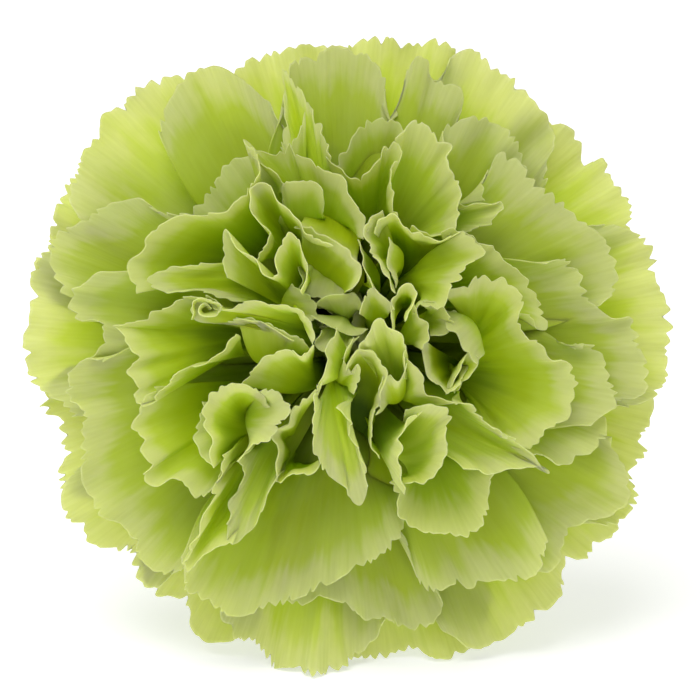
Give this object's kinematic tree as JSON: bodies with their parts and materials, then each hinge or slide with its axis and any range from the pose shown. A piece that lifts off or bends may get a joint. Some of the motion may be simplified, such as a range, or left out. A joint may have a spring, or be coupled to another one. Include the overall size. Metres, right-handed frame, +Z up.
{
  "type": "cut carnation",
  "caption": "Fully open double carnation bloom with ruffled, cut-edged petals on a short stem, laid down to rest on its petals and the cut end.",
  "frame": {"origin": "centre of the object's box on the surface that it lies on", "axes": "+Z up from the surface, +Y along the flower from the bloom to the cut end of the stem, -Y the way the bloom faces"},
  "size_m": [0.0786, 0.1374, 0.0718],
  "materials": {
    "petals": "soft matt petals, pale yellow-green at the cut margins and deeper green in the folds",
    "calyx": "smooth waxy green",
    "bracts": "smooth waxy green with a pale thin margin",
    "stem": "waxy grey-green",
    "leaf": "waxy blue-green"
  },
  "bodies": {
    "root": {"bloom": "petals", "calyx": "calyx", "bracts": "bracts", "stem": "stem", "leaf_left": "leaf", "leaf_right": "leaf"}
  },
  "joints": []
}
